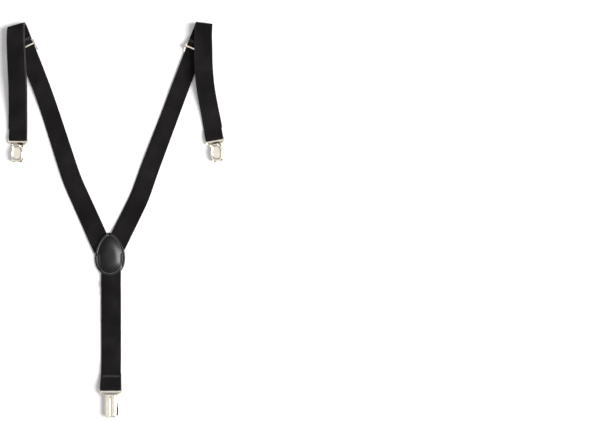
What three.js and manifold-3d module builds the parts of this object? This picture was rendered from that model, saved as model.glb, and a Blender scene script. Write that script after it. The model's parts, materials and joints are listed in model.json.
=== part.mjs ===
// Y-back trouser suspenders with three clips, laid flat: a rear strap and two shoulder straps meet
// under a stitched leather patch, and each shoulder strap folds over, runs down to a clip and comes
// back up inside itself to a cam adjuster. Millimetres, +Z up. The origin is under the centre of the
// patch, on the surface that the suspenders lie on, and +Y runs from the patch to the two folds.
import * as THREE from "three";
import { mergeVertices } from "three/addons/utils/BufferGeometryUtils.js";
import Module from "manifold-3d";

const wasm = await Module();
wasm.setup();

// Driving dimensions.
const GAP = 0.3; // clearance between touching pieces
const WEB = 1.6; // webbing thickness
const REAR_WIDTH = 25.8; // rear strap
const REAR_X = 1.3; // the rear strap lies a little to the right of the patch's middle
const METAL = 0.8; // sheet metal of clips and adjusters
const STRAP_BOTTOM = 1.2; // underside of the shoulder straps between patch and fold
const FOLD_RADIUS = 2.5; // inside radius of the folds
const FOLD_AXIS_Z = STRAP_BOTTOM + 2 * WEB + GAP + FOLD_RADIUS;
const LEATHER = 1.2; // patch backing
const PATCH_WIDTH = 38.4;
const PATCH_HEIGHT = 56;
const PATCH_EGG = 0.2; // how much narrower the patch is at its top
const PATCH_RIM_Z = 4.9;
const PATCH_DOME_Z = 9.4;
const CLIP_BODY = 15.2; // clip width below its shoulders
const FRONT_CLIP = { width: 25.8, loop: 23.4, length: 30.2, taper: 5 };
const REAR_CLIP = { width: 29.2, loop: 26.6, length: 37.2, taper: 5.6 };
const LOOP_INNER = 1.15; // inside radius of a webbing loop round its bar
const FRONT_BAR_Z = LOOP_INNER + WEB;
const REAR_BAR_Z = 5.7;
const REAR_BAR_Y = -173.2;
const LOOP_REACH = 12; // how far a webbing loop runs back from its clip's bar
const ADJUSTER_WIDTH = 26.4;
const ADJUSTER_PIVOT_Z = 5.5;
const TAB_WIDTH = 21.8;
const TAB_END = 10.5; // end of the sewn tab, from the adjuster's pivot
const TEETH = 8;

const rad = THREE.MathUtils.degToRad;
const smooth = (a, b, x) => THREE.MathUtils.smoothstep(x, a, b);
const mix = THREE.MathUtils.lerp;

// The two shoulder straps. Angles are plan directions, anticlockwise from +X. Each bend is a
// distance from the fold where it starts, its length, and the angle it turns by before folding.
const SIDES = {
  left: {
    fold: new THREE.Vector2(-117.5, 291.2),
    up: rad(110.9), // from the patch to the fold
    down: rad(272.4), // from the fold to the clip
    tilt: 0.08, // extra slant of the fold line
    backBends: [[74, 24, rad(-2.1)], [100, 26, rad(-0.9)], [192, 30, rad(6.4)]],
    frontBends: [[58, 26, rad(4)], [100, 24, rad(-0.8)]],
    adjuster: -25.4,
    adjusterTurn: rad(5), // how far it has slewed on the strap
    bar: 141.6, // clip bar from the fold
    slide: -1.2, // how far the front strap has crept sideways round the fold
    inner: -1, // which side of the middle plane it ends on
  },
  right: {
    fold: new THREE.Vector2(119.9, 293.2),
    up: rad(69.35),
    down: rad(270.6),
    tilt: 0.06,
    backBends: [[185, 20, rad(1.3)], [222, 24, rad(-6.7)]],
    frontBends: [[40, 56, rad(-10)], [116, 18, rad(0.8)]],
    adjuster: -30.4,
    adjusterTurn: rad(-3),
    bar: 143.8,
    slide: -1.4,
    inner: 1,
  },
};

const CREEP_LENGTH = 30; // of strap, over which its sideways slide builds up

// Width of a shoulder strap: it curls narrower over the fold and is widest towards the patch.
const FRONT_WIDTH = 22.8;
const CURL = 1.2;
const PATCH_END_WIDTH = 25.4;
const strapWidth = (s) =>
  mix(FRONT_WIDTH, PATCH_END_WIDTH, smooth(60, 300, -s)) -
  CURL * (1 - smooth(10, 60, Math.abs(s)));

// Materials.
const material = (color, roughness, metalness) => () =>
  new THREE.MeshStandardMaterial({ color, roughness, metalness });
const webbing = material(0x1d1b1d, 0.95, 0);
const leather = material(0x151415, 0.35, 0);
const nickel = material(0xded6c3, 0.25, 1);
const brass = material(0xcaa983, 0.28, 1);
const steel = material(0xb9b3a6, 0.35, 1);
const rubber = material(0x18171a, 0.6, 0);

const suspenders = new THREE.Group();

function add(parent, name, shape, look) {
  const geometry = shape.isBufferGeometry ? shape : geometryOf(shape);
  const mesh = new THREE.Mesh(geometry, look());
  mesh.name = name;
  parent.add(mesh);
}

// Solids for joining and cutting.
function solidOf(geometry) {
  const bare = new THREE.BufferGeometry();
  bare.setAttribute("position", geometry.attributes.position);
  bare.setIndex(geometry.index);
  const merged = mergeVertices(bare, 1e-4);
  return new wasm.Manifold(
    new wasm.Mesh({
      numProp: 3,
      vertProperties: new Float32Array(merged.attributes.position.array),
      triVerts: new Uint32Array(merged.index.array),
    }),
  );
}

function geometryOf(solid) {
  const mesh = solid.getMesh();
  const geometry = new THREE.BufferGeometry();
  geometry.setAttribute("position", new THREE.BufferAttribute(mesh.vertProperties, 3));
  geometry.setIndex(new THREE.BufferAttribute(mesh.triVerts, 1));
  return geometry;
}

function block(x0, x1, y0, y1, z0, z1) {
  const box = new THREE.BoxGeometry(x1 - x0, y1 - y0, z1 - z0);
  return solidOf(box.translate((x0 + x1) / 2, (y0 + y1) / 2, (z0 + z1) / 2));
}

// A plan outline given a height.
function upright(shape, z0, z1, segments = 8) {
  const options = { depth: z1 - z0, bevelEnabled: false, curveSegments: segments };
  return solidOf(new THREE.ExtrudeGeometry(shape, options).translate(0, 0, z0));
}

// A side profile, in (y, z), given a width from x0 to x1.
function sideways(shape, x0, x1, segments = 8) {
  const options = { depth: x1 - x0, bevelEnabled: false, curveSegments: segments };
  const turn = new THREE.Matrix4().makeBasis(
    new THREE.Vector3(0, 1, 0),
    new THREE.Vector3(0, 0, 1),
    new THREE.Vector3(1, 0, 0),
  );
  const geometry = new THREE.ExtrudeGeometry(shape, options).applyMatrix4(turn);
  return solidOf(geometry.translate(x0, 0, 0));
}

function rod(radius, x0, x1, y, z) {
  const geometry = new THREE.CylinderGeometry(radius, radius, x1 - x0, 16);
  return solidOf(geometry.rotateZ(Math.PI / 2).translate((x0 + x1) / 2, y, z));
}

function polygon(points) {
  return new THREE.Shape(points.map(([x, y]) => new THREE.Vector2(x, y)));
}

// A closed slab between two surfaces, each a function of the distance along and the share across.
function slab(lower, upper, s0, s1, rows, columns) {
  const wide = columns + 1;
  const layer = (rows + 1) * wide;
  const position = [];
  const index = [];
  for (const surface of [lower, upper])
    for (let i = 0; i <= rows; i++)
      for (let j = 0; j <= columns; j++)
        position.push(...surface(mix(s0, s1, i / rows), j / columns - 0.5));
  const quad = (a, b, c, d) => index.push(a, b, c, a, c, d);
  for (let i = 0; i < rows; i++)
    for (let j = 0; j < columns; j++) {
      const k = i * wide + j;
      quad(k, k + wide, k + wide + 1, k + 1);
      quad(layer + k, layer + k + 1, layer + k + wide + 1, layer + k + wide);
    }
  for (let j = 0; j < columns; j++) {
    const k = rows * wide + j;
    quad(j, j + 1, layer + j + 1, layer + j);
    quad(k + 1, k, layer + k, layer + k + 1);
  }
  for (let i = 0; i < rows; i++) {
    const k = i * wide;
    const m = k + columns;
    quad(k + wide, k, layer + k, layer + k + wide);
    quad(m, m + wide, layer + m + wide, layer + m);
  }
  const geometry = new THREE.BufferGeometry();
  geometry.setAttribute("position", new THREE.Float32BufferAttribute(position, 3));
  geometry.setIndex(volume(position, index) < 0 ? index.reverse() : index);
  return geometry;
}

function volume(position, index) {
  const corner = (i) => new THREE.Vector3().fromArray(position, 3 * i);
  let sum = 0;
  for (let i = 0; i < index.length; i += 3)
    sum += corner(index[i]).dot(corner(index[i + 1]).cross(corner(index[i + 2])));
  return sum;
}

// A point on a flat route that leaves the origin at a heading and has some bends.
function walk(heading, bends, distance) {
  const point = new THREE.Vector2();
  const step = (aim, length) =>
    point.add(new THREE.Vector2(Math.cos(aim), Math.sin(aim)).multiplyScalar(length));
  let done = 0;
  for (const [at, length, turn] of bends) {
    step(heading, Math.max(0, Math.min(distance, at) - done));
    const inBend = THREE.MathUtils.clamp(distance - at, 0, length);
    if (inBend > 0) {
      const turned = (turn * inBend) / length;
      step(heading + turned / 2, (inBend * Math.sin(turned / 2)) / (turned / 2));
      heading += turned;
    }
    done = at + length;
  }
  step(heading, Math.max(0, distance - done));
  return { point, heading };
}

// A shoulder strap's layer. Distance s runs along the strap and is 0 where the fold starts; w is
// across it. The flat strap is wrapped half round the fold's axis and then comes down to the table.
class Layer {
  constructor(side, inside) {
    this.side = side;
    this.radius = FOLD_RADIUS + inside; // of its inner face
    this.arc = Math.PI * (this.radius + WEB / 2);
    const up = new THREE.Vector2(Math.cos(side.up), Math.sin(side.up));
    const down = new THREE.Vector2(Math.cos(side.down), Math.sin(side.down));
    this.out = up.sub(down).normalize();
    this.line = new THREE.Vector2(this.out.y, -this.out.x);
    this.frontBends = side.frontBends.map(([at, ...rest]) => [at + this.arc, ...rest]);
  }

  // height is 0 on the inner face and WEB on the outer face; lift raises the back part.
  point(s, w, height, lift = 0) {
    const { side, arc, out, line } = this;
    const route =
      s < 0
        ? walk(side.up + Math.PI, side.backBends, -s)
        : walk(side.up, this.frontBends, s);
    const heading = s < 0 ? route.heading + Math.PI : route.heading;
    const flat = route.point.add(
      new THREE.Vector2(Math.sin(heading), -Math.cos(heading)).multiplyScalar(
        w + side.slide * smooth(0, CREEP_LENGTH, s),
      ),
    );
    const u = flat.dot(out);
    const v = flat.dot(line);
    const rho = this.radius + height;
    const turn = THREE.MathUtils.clamp(u / arc, 0, 1) * Math.PI;
    let reach = rho * Math.sin(turn);
    let z = FOLD_AXIS_Z - rho * Math.cos(turn);
    if (u < 0) {
      reach = u;
      z += lift;
    }
    if (u > arc) {
      reach = arc - u;
      z -= (FOLD_AXIS_Z + FOLD_RADIUS) * smooth(45, 125, u - arc);
    }
    const near = 1 - smooth(0, 14, Math.abs(u - arc / 2) - arc / 2);
    reach += side.tilt * v * near;
    const plan = side.fold.clone().addScaledVector(out, reach).addScaledVector(line, v);
    return [plan.x, plan.y, z];
  }

  // A stretch of the strap as a closed slab, s0 to s1, with its width and lift along it.
  piece(s0, s1, rows, { columns = 4, width = strapWidth, lift = () => 0 } = {}) {
    const face = (height) => (s, share) =>
      this.point(s, share * width(s), height, lift(s));
    return slab(face(0), face(WEB), s0, s1, rows, columns);
  }
}

// Clip, in its own frame: the bar's axis along X at the origin, the tip along +Y, the lever on +Z.
function clip(group, name, { width, loop, length, taper }) {
  const half = CLIP_BODY / 2;
  const barHalf = 0.7;
  const barThick = 1;
  const slotEnd = 3.2;
  const neck = slotEnd + 1;
  const pinY = length - 3.2;
  const pinZ = 2.4;
  const pinRadius = 0.65;
  const floor = -2.2; // back plate's outer face
  const wall = half - METAL;

  const outline = new THREE.Shape();
  outline.moveTo(-width / 2, -barHalf);
  outline.lineTo(width / 2, -barHalf);
  outline.lineTo(width / 2, neck);
  outline.bezierCurveTo(width / 2, neck + 2, half, neck + taper - 2, half, neck + taper);
  outline.lineTo(half, length - 4);
  outline.absarc(half - 4, length - 4, 4, 0, Math.PI / 2);
  outline.absarc(4 - half, length - 4, 4, Math.PI / 2, Math.PI);
  outline.lineTo(-half, neck + taper);
  outline.bezierCurveTo(-half, neck + taper - 2, -width / 2, neck + 2, -width / 2, neck);

  const step = neck + taper - 1;
  const sheet = polygon([
    [-barHalf, -barThick / 2],
    [neck, -barThick / 2],
    [step, floor],
    [length, floor],
    [length, floor + METAL],
    [step + 0.4, floor + METAL],
    [neck + 0.6, barThick / 2],
    [-barHalf, barThick / 2],
  ]);
  const earTop = pinZ + 1.5;
  const flank = polygon([
    [step + 0.6, floor + 0.1],
    [length - 2, floor + 0.1],
    [length - 1.2, pinZ - 0.6],
    [pinY + 1, earTop],
    [pinY - 1, earTop],
    [pinY - 3, pinZ - 1],
    [pinY - 6, 0.3],
    [step + 1.6, 0.3],
  ]);
  let plate = sideways(sheet, -width / 2, width / 2)
    .intersect(upright(outline, -9, 9, 6))
    .subtract(block(-loop / 2 - GAP, loop / 2 + GAP, barHalf, slotEnd, -3, 3))
    .add(sideways(flank, wall, half).add(sideways(flank, -half, -wall)));
  plate = plate.subtract(rod(pinRadius + GAP, -half - 1, half + 1, pinY, pinZ));
  add(group, "clip_plate_" + name, plate, nickel);

  const pad = new THREE.Shape();
  const padHalf = wall - GAP;
  pad.moveTo(-padHalf, pinY - 8);
  pad.lineTo(padHalf, pinY - 8);
  pad.lineTo(padHalf, length - 4);
  pad.absarc(padHalf - 3, length - 4, 3, 0, Math.PI / 2);
  pad.absarc(3 - padHalf, length - 4, 3, Math.PI / 2, Math.PI);
  const padFloor = floor + METAL + GAP;
  let insert = upright(pad, padFloor, padFloor + 0.8, 4);
  for (let y = pinY - 6.5; y < length - 2; y += 1.6)
    insert = insert.subtract(block(-wall, wall, y, y + 0.6, padFloor + 0.5, padFloor + 2));
  add(group, "clip_pad_" + name, insert, rubber);

  const face = new THREE.Shape();
  const start = neck + taper - 1;
  face.moveTo(-half + 1.5, start);
  face.quadraticCurveTo(0, start - 2, half - 1.5, start);
  face.quadraticCurveTo(half - 0.2, start, half - 0.2, start + 2);
  face.lineTo(half - 0.2, pinY - 2);
  face.bezierCurveTo(half - 0.4, pinY + 1.2, half - 3, pinY + 2.4, 0, pinY + 2.4);
  face.bezierCurveTo(3 - half, pinY + 2.4, 0.4 - half, pinY + 1.2, 0.2 - half, pinY - 2);
  face.lineTo(0.2 - half, start + 2);
  face.quadraticCurveTo(0.2 - half, start, 1.5 - half, start);
  const well = new THREE.Shape();
  well.moveTo(-4.6, start - 3);
  well.lineTo(4.6, start - 3);
  well.lineTo(5.2, pinY - 3.5);
  well.absarc(0, pinY - 3.5, 5.2, 0, Math.PI);
  const leverFloor = earTop + GAP;
  const lug = polygon([
    [pinY - 3.2, leverFloor + 0.1],
    [pinY + 1.4, leverFloor + 0.1],
    [pinY + 1.3, pinZ - 0.6],
    [pinY + 0.6, pinZ - 1.3],
    [pinY - 0.6, pinZ - 1.3],
  ]);
  const lip = polygon([
    [pinY - 3.3, leverFloor + 0.1],
    [pinY - 2, leverFloor + 0.1],
    [pinY - 0.9, 0.1],
    [pinY - 2, 0.1],
  ]);
  const lugOut = wall - GAP;
  let lever = upright(face, leverFloor, leverFloor + METAL + 0.6, 6)
    .subtract(upright(well, leverFloor + METAL, leverFloor + 3, 6))
    .add(sideways(lug, lugOut - METAL, lugOut))
    .add(sideways(lug, -lugOut, METAL - lugOut))
    .add(sideways(lip, 0.2 - lugOut, lugOut - 0.2));
  lever = lever.subtract(rod(pinRadius + GAP, -half, half, pinY, pinZ));
  for (let x = 1 - lugOut; x < lugOut; x += 1.7)
    lever = lever.subtract(block(x, x + 0.7, pinY - 3.5, pinY + 0.4, -1, 0.9));
  add(group, "clip_lever_" + name, lever, nickel);

  add(group, "clip_pin_" + name, rod(pinRadius, -half - 0.2, half + 0.2, pinY, pinZ), steel);
}

// A flat fold of webbing round a bar, as a profile: its inner and outer faces are arcs about
// (y, z); each leg ends at a reach with the given bottom height.
function loopProfile(turn, y, z, inner, legs) {
  const [low, high] = legs;
  const outer = inner + WEB;
  const shape = new THREE.Shape();
  const facing = turn > 0 ? [-Math.PI / 2, Math.PI / 2] : [-Math.PI / 2, -1.5 * Math.PI];
  shape.moveTo(low.y, low.z);
  shape.lineTo(y - 2 * turn, z - outer);
  shape.absarc(y, z, outer, facing[0], facing[1], turn < 0);
  shape.lineTo(y - 2 * turn, z + outer);
  shape.lineTo(high.y, high.z + WEB);
  shape.lineTo(high.y, high.z);
  shape.lineTo(y - 2.6 * turn, z + inner);
  shape.absarc(y, z, inner, facing[1], facing[0], turn > 0);
  shape.lineTo(y - 2.6 * turn, z - inner);
  shape.lineTo(low.y, low.z + WEB);
  return shape;
}

// Cam adjuster, in its own frame: the pivot's axis along X above the origin, the fold along +Y.
function adjuster(group, name) {
  const half = ADJUSTER_WIDTH / 2;
  const ear = 0.7;
  const pivot = ADJUSTER_PIVOT_Z;
  const pin = 0.7;
  const floor = 0.2;
  const base = block(-half, half, -8, 6, floor, floor + 0.7);
  const earShape = polygon([
    [-4.4, floor],
    [4.4, floor],
    [4.4, 2.6],
    [2, pivot + 1.2],
    [0.9, pivot + 1.9],
    [-0.9, pivot + 1.9],
    [-2, pivot + 1.2],
    [-4.4, 2.6],
  ]);
  const bothEars = sideways(earShape, half - ear, half).add(
    sideways(earShape, -half, ear - half),
  );
  const cover = base.add(bothEars).subtract(rod(pin + GAP, -half - 1, half + 1, 0, pivot));
  add(group, "adjuster_cover_" + name, cover, nickel);
  for (const [end, sign] of [["a", -1], ["b", 1]]) {
    const x = [sign * (half - ear - GAP - 1.2), sign * (half + 0.3)].sort((p, q) => p - q);
    add(group, `adjuster_rivet_${name}_${end}`, rod(pin, x[0], x[1], 0, pivot), steel);
  }

  const out = half - ear - GAP; // outer faces of the lever's arms
  const arm = new THREE.Shape();
  arm.moveTo(-1.4, pivot - 1.4);
  arm.lineTo(1.4, pivot - 1.4);
  arm.lineTo(7.2, pivot - 0.9);
  arm.lineTo(7.2, pivot + 0.9);
  arm.lineTo(1.4, pivot + 1.3);
  arm.lineTo(-1.4, pivot + 1.3);
  const trough = polygon([
    [0.5, 3.4],
    [-0.9, pivot + 0.6],
    [1.7, pivot + 0.7],
    [1.7, pivot + 1.4],
    [-1.9, pivot + 1.3],
    [-0.3, 3.4],
  ]);
  const barHalf = 0.5;
  let lever = sideways(arm, out - METAL, out)
    .add(sideways(arm, -out, METAL - out))
    .add(sideways(trough, 0.2 - out, out - 0.2))
    .add(block(0.2 - out, out - 0.2, 4.8, 6.8, pivot - barHalf, pivot + barHalf));
  const pitch = (2 * (out - METAL)) / TEETH;
  for (let i = 0; i < TEETH; i++) {
    const x = METAL - out + i * pitch + 0.3;
    const tooth = polygon([[x, 3.6], [x, 3], [x + 0.5, 2.95], [x + pitch * 0.75, 3.6]]);
    const turn = new THREE.Matrix4().makeBasis(
      new THREE.Vector3(1, 0, 0),
      new THREE.Vector3(0, 0, 1),
      new THREE.Vector3(0, -1, 0),
    );
    const sheet = new THREE.ExtrudeGeometry(tooth, { depth: 0.7, bevelEnabled: false });
    lever = lever.add(solidOf(sheet.applyMatrix4(turn).translate(0, 0.45, 0)));
  }
  lever = lever.subtract(rod(pin + GAP, -out - 1, METAL - out + 1, 0, pivot));
  lever = lever.subtract(rod(pin + GAP, out - METAL - 1, out + 1, 0, pivot));
  add(group, "adjuster_lever_" + name, lever, brass);

  const tab = loopProfile(-1, 4.6, pivot, 0.8, [
    { y: TAB_END, z: 3.1 },
    { y: TAB_END, z: 5 },
  ]);
  add(group, "adjuster_tab_" + name, sideways(tab, -TAB_WIDTH / 2, TAB_WIDTH / 2), webbing);
}

function frameAt(point, heading, z) {
  const group = new THREE.Group();
  group.position.set(point[0], point[1], z);
  group.rotation.z = heading - Math.PI / 2;
  suspenders.add(group);
  return group;
}

// Shoulder straps, from the patch over the fold to the clip and back to the adjuster.
const FOLD_MARGIN = 3.2; // the fold's pieces reach this far past the turn
const patchSpace = (inner) =>
  block(inner < 0 ? -200 : 0.2, inner < 0 ? -0.2 : 200, 1, 400, -5, 30);
for (const [name, side] of Object.entries(SIDES)) {
  const main = new Layer(side, WEB + GAP);
  const back = new Layer(side, 0); // the returning strap, inside the fold
  const loopWidth = FRONT_CLIP.loop;
  const frontWidth = (layer) => (s) =>
    mix(strapWidth(s), loopWidth, smooth(side.bar - 45, side.bar - LOOP_REACH, s - layer.arc));

  const whole = main.piece(-320, -FOLD_MARGIN, 24);
  add(suspenders, "strap_back_" + name, solidOf(whole).intersect(patchSpace(side.inner)), webbing);
  const foldOf = (layer) => layer.piece(GAP - FOLD_MARGIN, layer.arc + FOLD_MARGIN, 16);
  add(suspenders, "strap_fold_" + name, foldOf(main), webbing);
  add(suspenders, "return_fold_" + name, foldOf(back), webbing);
  for (const [label, layer] of [["strap_front_", main], ["return_front_", back]]) {
    const from = layer.arc + FOLD_MARGIN + GAP;
    const to = layer.arc + side.bar - LOOP_REACH - GAP;
    const piece = layer.piece(from, to, 22, { width: frontWidth(layer) });
    add(suspenders, label + name, piece, webbing);
  }

  const tabEnd = side.adjuster + TAB_END;
  const riseEnd = tabEnd + 5.4;
  const lift = (s) => 1.9 * (1 - smooth(tabEnd, riseEnd, s));
  const slant = (s, w) =>
    s + w * Math.tan(side.adjusterTurn) * (1 - smooth(tabEnd + GAP, riseEnd, s));
  const riseFace = (height) => (s, share) => {
    const w = share * mix(TAB_WIDTH, strapWidth(s), smooth(tabEnd, riseEnd, s));
    return back.point(slant(s, w), w, height, lift(s));
  };
  const rise = slab(riseFace(0), riseFace(WEB), tabEnd + GAP, riseEnd, 6, 4);
  add(suspenders, "return_rise_" + name, rise, webbing);
  const flat = back.piece(riseEnd + GAP, -FOLD_MARGIN, 4);
  add(suspenders, "return_back_" + name, flat, webbing);

  const pivot = main.point(side.adjuster, 0, 0);
  adjuster(frameAt(pivot, side.up + side.adjusterTurn, 0), name);

  const bar = back.point(back.arc + side.bar, 0, 0);
  const behind = back.point(back.arc + side.bar - 1, 0, 0);
  const heading = Math.atan2(bar[1] - behind[1], bar[0] - behind[0]);
  const end = frameAt(bar, heading, 0);
  const loop = loopProfile(1, 0, FRONT_BAR_Z, LOOP_INNER, [
    { y: -LOOP_REACH, z: 0 },
    { y: -LOOP_REACH, z: WEB + GAP },
  ]);
  add(end, "clip_loop_" + name, sideways(loop, -loopWidth / 2, loopWidth / 2), webbing);
  const held = new THREE.Group();
  held.position.z = FRONT_BAR_Z;
  end.add(held);
  clip(held, name, FRONT_CLIP);
}

// Rear strap: down from the patch onto the table, and up again to its clip.
const REAR_TAIL = 19;
const rearEnd = REAR_BAR_Y + REAR_TAIL + GAP;
const rearHeight = (y) =>
  mix(STRAP_BOTTOM + GAP, 0.2, smooth(30, 60, -y)) + 1.7 * smooth(-rearEnd - 22, -rearEnd, -y);
const rearFace = (height) => (y, share) => [
  REAR_X + share * REAR_WIDTH,
  y,
  rearHeight(y) + height,
];
const rear = slab(rearFace(0), rearFace(WEB), 0.6, rearEnd, 30, 2);
add(suspenders, "strap_rear", rear, webbing);

const rearClip = new THREE.Group();
rearClip.position.set(REAR_X, REAR_BAR_Y, REAR_BAR_Z);
rearClip.rotation.set(0, 0, Math.PI);
suspenders.add(rearClip);
const rearLoop = loopProfile(1, 0, 0, LOOP_INNER, [
  { y: -REAR_TAIL, z: 0.05 - REAR_BAR_Z },
  { y: -REAR_TAIL, z: 0.35 + WEB - REAR_BAR_Z },
]);
const rearLoopHalf = REAR_CLIP.loop / 2;
add(rearClip, "clip_loop_rear", sideways(rearLoop, -rearLoopHalf, rearLoopHalf), webbing);
const turnedOver = new THREE.Group();
turnedOver.rotation.y = Math.PI;
rearClip.add(turnedOver);
clip(turnedOver, "rear", REAR_CLIP);

// Patch: an egg outline, a backing and a domed top with a flat stitched rim.
function eggPoint(turn, inset) {
  const width = PATCH_WIDTH / 2 - inset;
  const height = PATCH_HEIGHT / 2 - inset;
  const narrow = 1 - PATCH_EGG * Math.sin(turn);
  return [width * Math.cos(turn) * narrow, height * Math.sin(turn)];
}

function eggRings(rings, bottom) {
  const steps = 48;
  const position = [];
  const index = [];
  const levels = [[0, bottom], ...rings];
  for (const [inset, z] of levels)
    for (let i = 0; i < steps; i++)
      position.push(...eggPoint((2 * Math.PI * i) / steps, inset), z);
  const base = position.length / 3;
  position.push(0, 0, bottom, 0, 0, PATCH_DOME_Z);
  const last = (levels.length - 1) * steps;
  for (let i = 0; i < steps; i++) {
    const next = (i + 1) % steps;
    index.push(base, next, i);
    index.push(base + 1, last + i, last + next);
    for (let k = 0; k < last; k += steps)
      index.push(k + i, k + next, k + steps + next, k + i, k + steps + next, k + steps + i);
  }
  const geometry = new THREE.BufferGeometry();
  geometry.setAttribute("position", new THREE.Float32BufferAttribute(position, 3));
  geometry.setIndex(index);
  return geometry;
}

const backing = new THREE.Shape(
  Array.from({ length: 48 }, (_, i) => {
    const [x, y] = eggPoint((2 * Math.PI * i) / 48, 0.2);
    return new THREE.Vector2(x, y);
  }),
);
add(suspenders, "patch_backing", upright(backing, 0, LEATHER), leather);

// The stretch of each shoulder strap that the patch's room for it is cut from.
const PATCH_FAR = -330;
const PATCH_NEAR = -150;
const strapRoom = (side) => {
  const layer = new Layer(side, WEB + GAP);
  const room = (height) => (s, share) =>
    layer.point(s, share * (strapWidth(s) + 2 * GAP), height);
  return solidOf(slab(room(-GAP), room(WEB + GAP), PATCH_FAR, PATCH_NEAR, 16, 4));
};
const rearLeft = REAR_X - REAR_WIDTH / 2 - GAP;
const rearRight = REAR_X + REAR_WIDTH / 2 + GAP;
const dome = [4, 5, 6.5, 8.5, 11, 14];
const rise = (inset) => {
  const share = (inset - dome[0]) / (PATCH_WIDTH / 2 - dome[0]);
  return mix(PATCH_RIM_Z - 0.3, PATCH_DOME_Z, Math.sin((Math.PI / 2) * Math.sqrt(share)));
};
const rings = [[0, PATCH_RIM_Z - 0.5], [0.5, PATCH_RIM_Z], [3.6, PATCH_RIM_Z]];
const top = solidOf(eggRings([...rings, ...dome.map((d) => [d, rise(d)])], LEATHER + GAP))
  .subtract(strapRoom(SIDES.left))
  .subtract(strapRoom(SIDES.right))
  .subtract(block(rearLeft, rearRight, -60, 1, 0, LEATHER + WEB + 2 * GAP))
  .subtract(block(-9, 9, 0, 18, 0, LEATHER + WEB + 2 * GAP));
add(suspenders, "patch_top", top, leather);

export default suspenders;
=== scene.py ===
"""Y-back clip-on suspenders, laid flat: ribbed elastic webbing, a stitched leather patch, two cam
adjusters and three pressed-metal clips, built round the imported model's bodies and joint axes."""

import json
import math

import bmesh
import bpy
import numpy as np
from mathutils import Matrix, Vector


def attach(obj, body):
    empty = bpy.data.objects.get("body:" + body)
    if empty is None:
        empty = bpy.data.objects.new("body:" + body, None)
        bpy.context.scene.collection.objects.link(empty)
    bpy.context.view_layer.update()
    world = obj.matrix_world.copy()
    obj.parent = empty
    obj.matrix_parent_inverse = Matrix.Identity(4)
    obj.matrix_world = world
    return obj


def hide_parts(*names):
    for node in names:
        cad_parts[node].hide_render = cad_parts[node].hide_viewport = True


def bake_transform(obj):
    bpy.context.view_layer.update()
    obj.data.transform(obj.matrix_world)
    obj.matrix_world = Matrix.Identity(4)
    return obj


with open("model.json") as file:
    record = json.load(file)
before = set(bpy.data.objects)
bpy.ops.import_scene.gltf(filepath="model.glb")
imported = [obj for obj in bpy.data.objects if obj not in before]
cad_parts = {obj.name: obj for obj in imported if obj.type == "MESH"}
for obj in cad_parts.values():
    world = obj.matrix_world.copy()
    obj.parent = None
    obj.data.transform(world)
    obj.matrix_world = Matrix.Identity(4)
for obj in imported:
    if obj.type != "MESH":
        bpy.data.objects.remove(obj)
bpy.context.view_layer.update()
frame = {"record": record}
JOINTS = {j["name"]: j for j in frame["record"]["behaviour"]["joints"]}
MM = 0.001

# Driving sizes, in millimetres. Places come from the joints' axes.
WEB = 1.6
GAP = 0.3
FRONT_WIDTH = 22.8
PATCH_END_WIDTH = 25.4
CURL = 1.2
REAR_WIDTH = 25.8
REAR_X = 1.3
FOLD_RADIUS = 2.5
STRAP_BOTTOM = 1.2
METAL = 0.8
PATCH_WIDTH = 38.4
PATCH_HEIGHT = 56
PATCH_EGG = 0.2
CLIP_BODY = 15.2
FRONT_CLIP = {"width": 25.8, "loop": 23.4, "length": 30.2, "taper": 5}
REAR_CLIP = {"width": 29.2, "loop": 26.6, "length": 37.2, "taper": 5.6}
SLOT_END = 3.2
NECK = 4.2
LOOP_REACH = 12
LOOP_INNER = 1.15
REAR_TAIL = 19
ADJUSTER_WIDTH = 26.4
TAB_WIDTH = 21.8
TAB_END = 10.5
RISE_LENGTH = 5.4
CLIP_PIN_FROM_TIP = 3.2
CLIP_PIN_Z = 2.4
CLIP_FLOOR = -2.2
TIP_RADIUS = 4
LEVER_TOP = CLIP_PIN_Z + 1.5 + GAP
TAB_TOP = 5.0
LEATHER_SHEET = 1.5
PATCH_FILL = 3.25
BACKING = 1.2
SHORTEST_SHEET = 10

# Where the straps are cut into pieces, as distances along from the start of the fold.
PATCH_START = -300
RETURN_SPLIT = -3.05
FRONT_SPLIT = 30
CREEP_HALF = 15

# Each shoulder strap's bends in the plane of the strap, as a distance from the fold, a length and
# an angle; the extra slant of its fold; and how far its front has crept sideways round the fold.
BENDS = {
    "left": {
        "back": [(74, 24, -2.1), (100, 26, -0.9), (192, 30, 6.4)],
        "front": [(58, 26, 4), (100, 24, -0.8)],
        "tilt": 0.08,
        "slide": -1.2,
    },
    "right": {
        "back": [(185, 20, 1.3), (222, 24, -6.7)],
        "front": [(40, 56, -10), (116, 18, 0.8)],
        "tilt": 0.06,
        "slide": -1.4,
    },
}
FRONT_LENGTH = {"left": 141.6, "right": 143.8}


# ---------------------------------------------------------------- small helpers


def smooth(a, b, x):
    t = np.clip((np.asarray(x, float) - a) / (b - a), 0, 1)
    return t * t * (3 - 2 * t)


def bump_at(x, centre, half):
    """1 at the centre, falling smoothly to 0 at half away."""
    return 1 - smooth(0, half, np.abs(np.asarray(x, float) - centre))


def mix(a, b, t):
    return a + (b - a) * t


def mm(values):
    return np.array(values, float) / MM


class Place:
    """A local frame: its origin and axes, in millimetres in the row frame."""

    def __init__(self, origin, x, y):
        self.origin = np.array(origin, float)
        self.x, self.y = (np.array(v, float) / np.linalg.norm(v) for v in (x, y))
        self.z = np.cross(self.x, self.y)

    def __call__(self, points):
        points = np.asarray(points, float)
        return (
            self.origin
            + points[..., 0:1] * self.x
            + points[..., 1:2] * self.y
            + points[..., 2:3] * self.z
        )


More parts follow.
